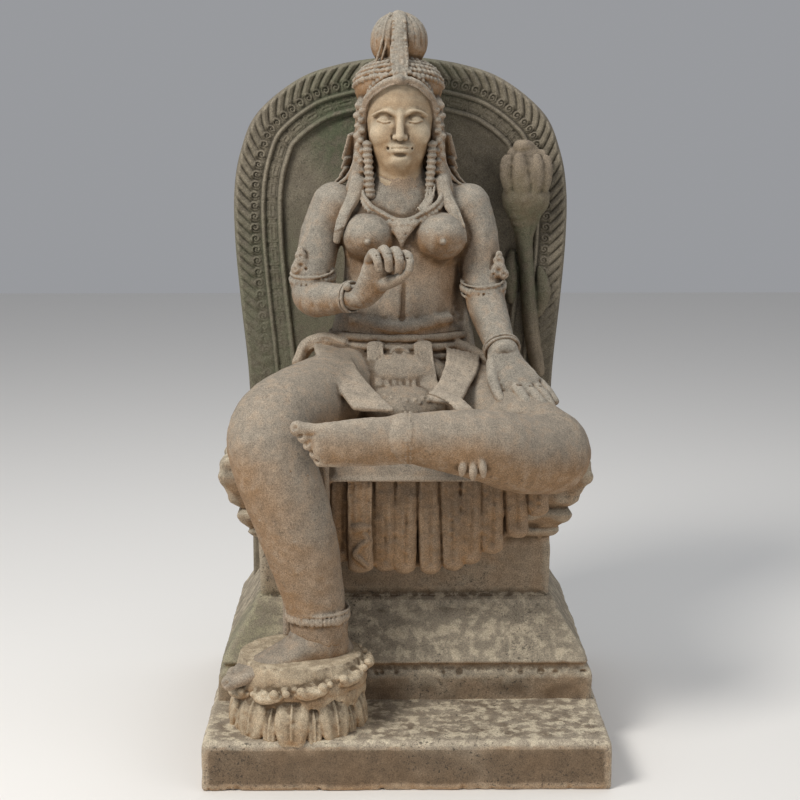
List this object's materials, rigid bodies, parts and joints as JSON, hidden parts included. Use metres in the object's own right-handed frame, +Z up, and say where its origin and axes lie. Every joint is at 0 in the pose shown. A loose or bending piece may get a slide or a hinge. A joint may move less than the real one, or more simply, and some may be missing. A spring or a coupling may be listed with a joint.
{
  "type": "tara statue",
  "caption": "Weathered stone statue of a seated goddess on a stepped throne, one foot on a lotus footrest, before a horseshoe-shaped back slab with a fluted border.",
  "frame": {"origin": "middle of the plinth's underside, on the ground", "axes": "+Z up, -Y towards the viewer the figure faces, -X on the side of the figure's raised right hand"},
  "size_m": [0.8, 0.83, 1.51],
  "materials": {
    "stone": "rough weathered grey-brown stone with moss and lichen"
  },
  "bodies": {
    "root": {"tara_statue": "stone"}
  },
  "joints": []
}
